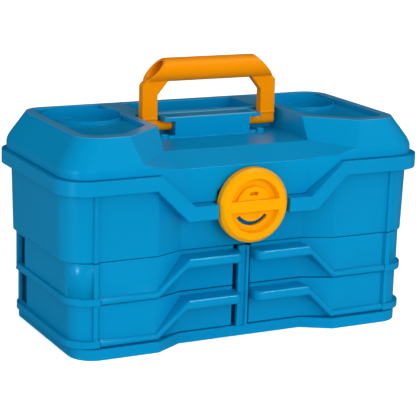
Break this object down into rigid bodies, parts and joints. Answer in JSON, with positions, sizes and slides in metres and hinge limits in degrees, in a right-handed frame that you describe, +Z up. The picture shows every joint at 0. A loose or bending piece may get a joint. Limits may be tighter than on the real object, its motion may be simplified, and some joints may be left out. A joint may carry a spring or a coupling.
{
  "type": "art supply box",
  "caption": "Moulded box for art supplies: open bin under a hinged lid with cup wells, sliding drawers below, folding carry handle and turning latch knob.",
  "frame": {"origin": "under the middle of the base, on the ground plane", "axes": "+X to the right seen from the front, +Y to the back, +Z up"},
  "size_m": [0.389, 0.2051, 0.2647],
  "materials": {
    "blue_plastic": "satin moulded polypropylene",
    "orange_plastic": "satin moulded polypropylene",
    "yellow_plastic": "satin moulded polypropylene",
    "steel": "zinc plated"
  },
  "bodies": {
    "box": {"plinth_base": "blue_plastic", "drawer_cabinet": "blue_plastic", "centre_partition": "blue_plastic", "shelf_right": "blue_plastic", "shelf_left": "blue_plastic", "upper_bin": "blue_plastic", "hinge_pin_right": "steel", "hinge_pin_left": "steel", "bin_screw_1": "steel", "bin_screw_2": "steel", "bin_screw_3": "steel", "bin_screw_4": "steel", "base_screw_1": "steel", "base_screw_2": "steel", "base_screw_3": "steel", "base_screw_4": "steel"},
    "lid": {"lid_shell": "blue_plastic"},
    "carry_handle": {"handle": "orange_plastic"},
    "knob": {"latch_knob": "yellow_plastic", "latch_cam": "blue_plastic", "latch_washer": "steel", "latch_screw": "steel"},
    "drawer_1": {"drawer_lower_right": "blue_plastic"},
    "drawer_2": {"drawer_lower_left": "blue_plastic"},
    "drawer_3": {"drawer_upper_right": "blue_plastic"},
    "drawer_4": {"drawer_upper_left": "blue_plastic"}
  },
  "joints": [
    {"name": "lid_hinge", "type": "hinge", "parent": "box", "child": "lid", "pos_m": [0, 0.1015, 0.172], "axis": [-1, 0, 0], "range_deg": [0, 105]},
    {"name": "handle_fold", "type": "hinge", "parent": "lid", "child": "carry_handle", "pos_m": [0, 0.0075, 0.1982], "axis": [1, 0, 0], "range_deg": [0, 84]},
    {"name": "knob_turn", "type": "hinge", "parent": "box", "child": "knob", "pos_m": [0, -0.085, 0.136], "axis": [0, 1, 0], "range_deg": [0, 90]},
    {"name": "drawer_lower_right_slide", "type": "slide", "parent": "box", "child": "drawer_1", "axis": [0, -1, 0], "range_m": [0, 0.12]},
    {"name": "drawer_lower_left_slide", "type": "slide", "parent": "box", "child": "drawer_2", "axis": [0, -1, 0], "range_m": [0, 0.12]},
    {"name": "drawer_upper_right_slide", "type": "slide", "parent": "box", "child": "drawer_3", "axis": [0, -1, 0], "range_m": [0, 0.12]},
    {"name": "drawer_upper_left_slide", "type": "slide", "parent": "box", "child": "drawer_4", "axis": [0, -1, 0], "range_m": [0, 0.12]}
  ]
}
